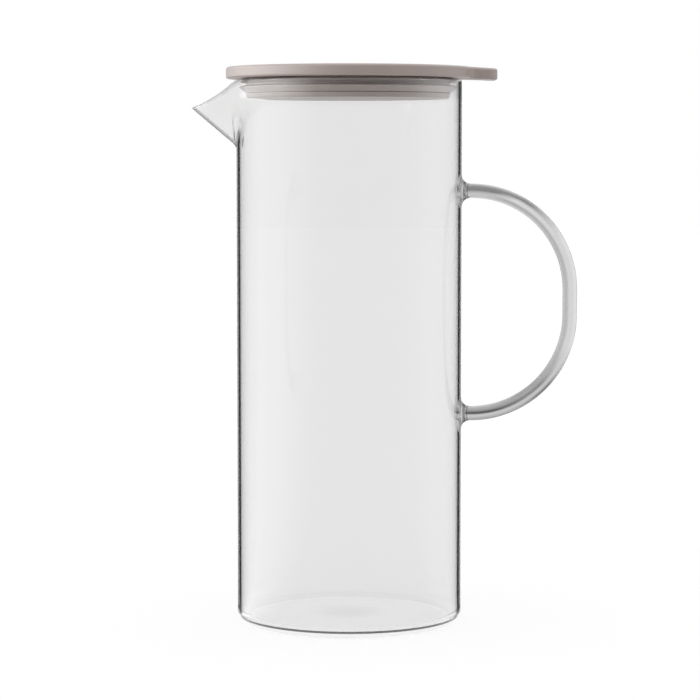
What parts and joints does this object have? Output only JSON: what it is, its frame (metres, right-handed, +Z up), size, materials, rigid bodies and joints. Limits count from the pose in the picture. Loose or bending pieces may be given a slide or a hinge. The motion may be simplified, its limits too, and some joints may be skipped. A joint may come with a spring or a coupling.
{
  "type": "glass jug",
  "caption": "Tall cylindrical glass jug with a pulled pouring spout, a round glass rod handle and a flat lid whose finned plug sits in the mouth and lifts out.",
  "frame": {"origin": "centre of the flat underside of the jug, on the axis of the cylinder", "axes": "+Z up along the cylinder, the spout points to -X, the handle and the lid's tab to +X"},
  "size_m": [0.1796, 0.1144, 0.2593],
  "materials": {
    "glass": "clear, polished",
    "handle_glass": "clear, fire polished rod",
    "lid": "matte taupe, fine grain",
    "plug": "matte taupe",
    "seal": "soft matte taupe silicone"
  },
  "bodies": {
    "jug": {"jug_body": "glass", "handle": "handle_glass"},
    "seal": {"seal_ring": "seal"},
    "lid": {"lid_cover": "lid", "lid_plug": "plug"}
  },
  "joints": [
    {"name": "lid_lift", "type": "slide", "parent": "jug", "child": "seal", "axis": [0, 0, 1], "range_m": [0, 0.06]},
    {"name": "lid_turn", "type": "hinge", "parent": "seal", "child": "lid", "pos_m": [0, 0, 0.25], "axis": [0, 0, 1], "continuous": true}
  ]
}
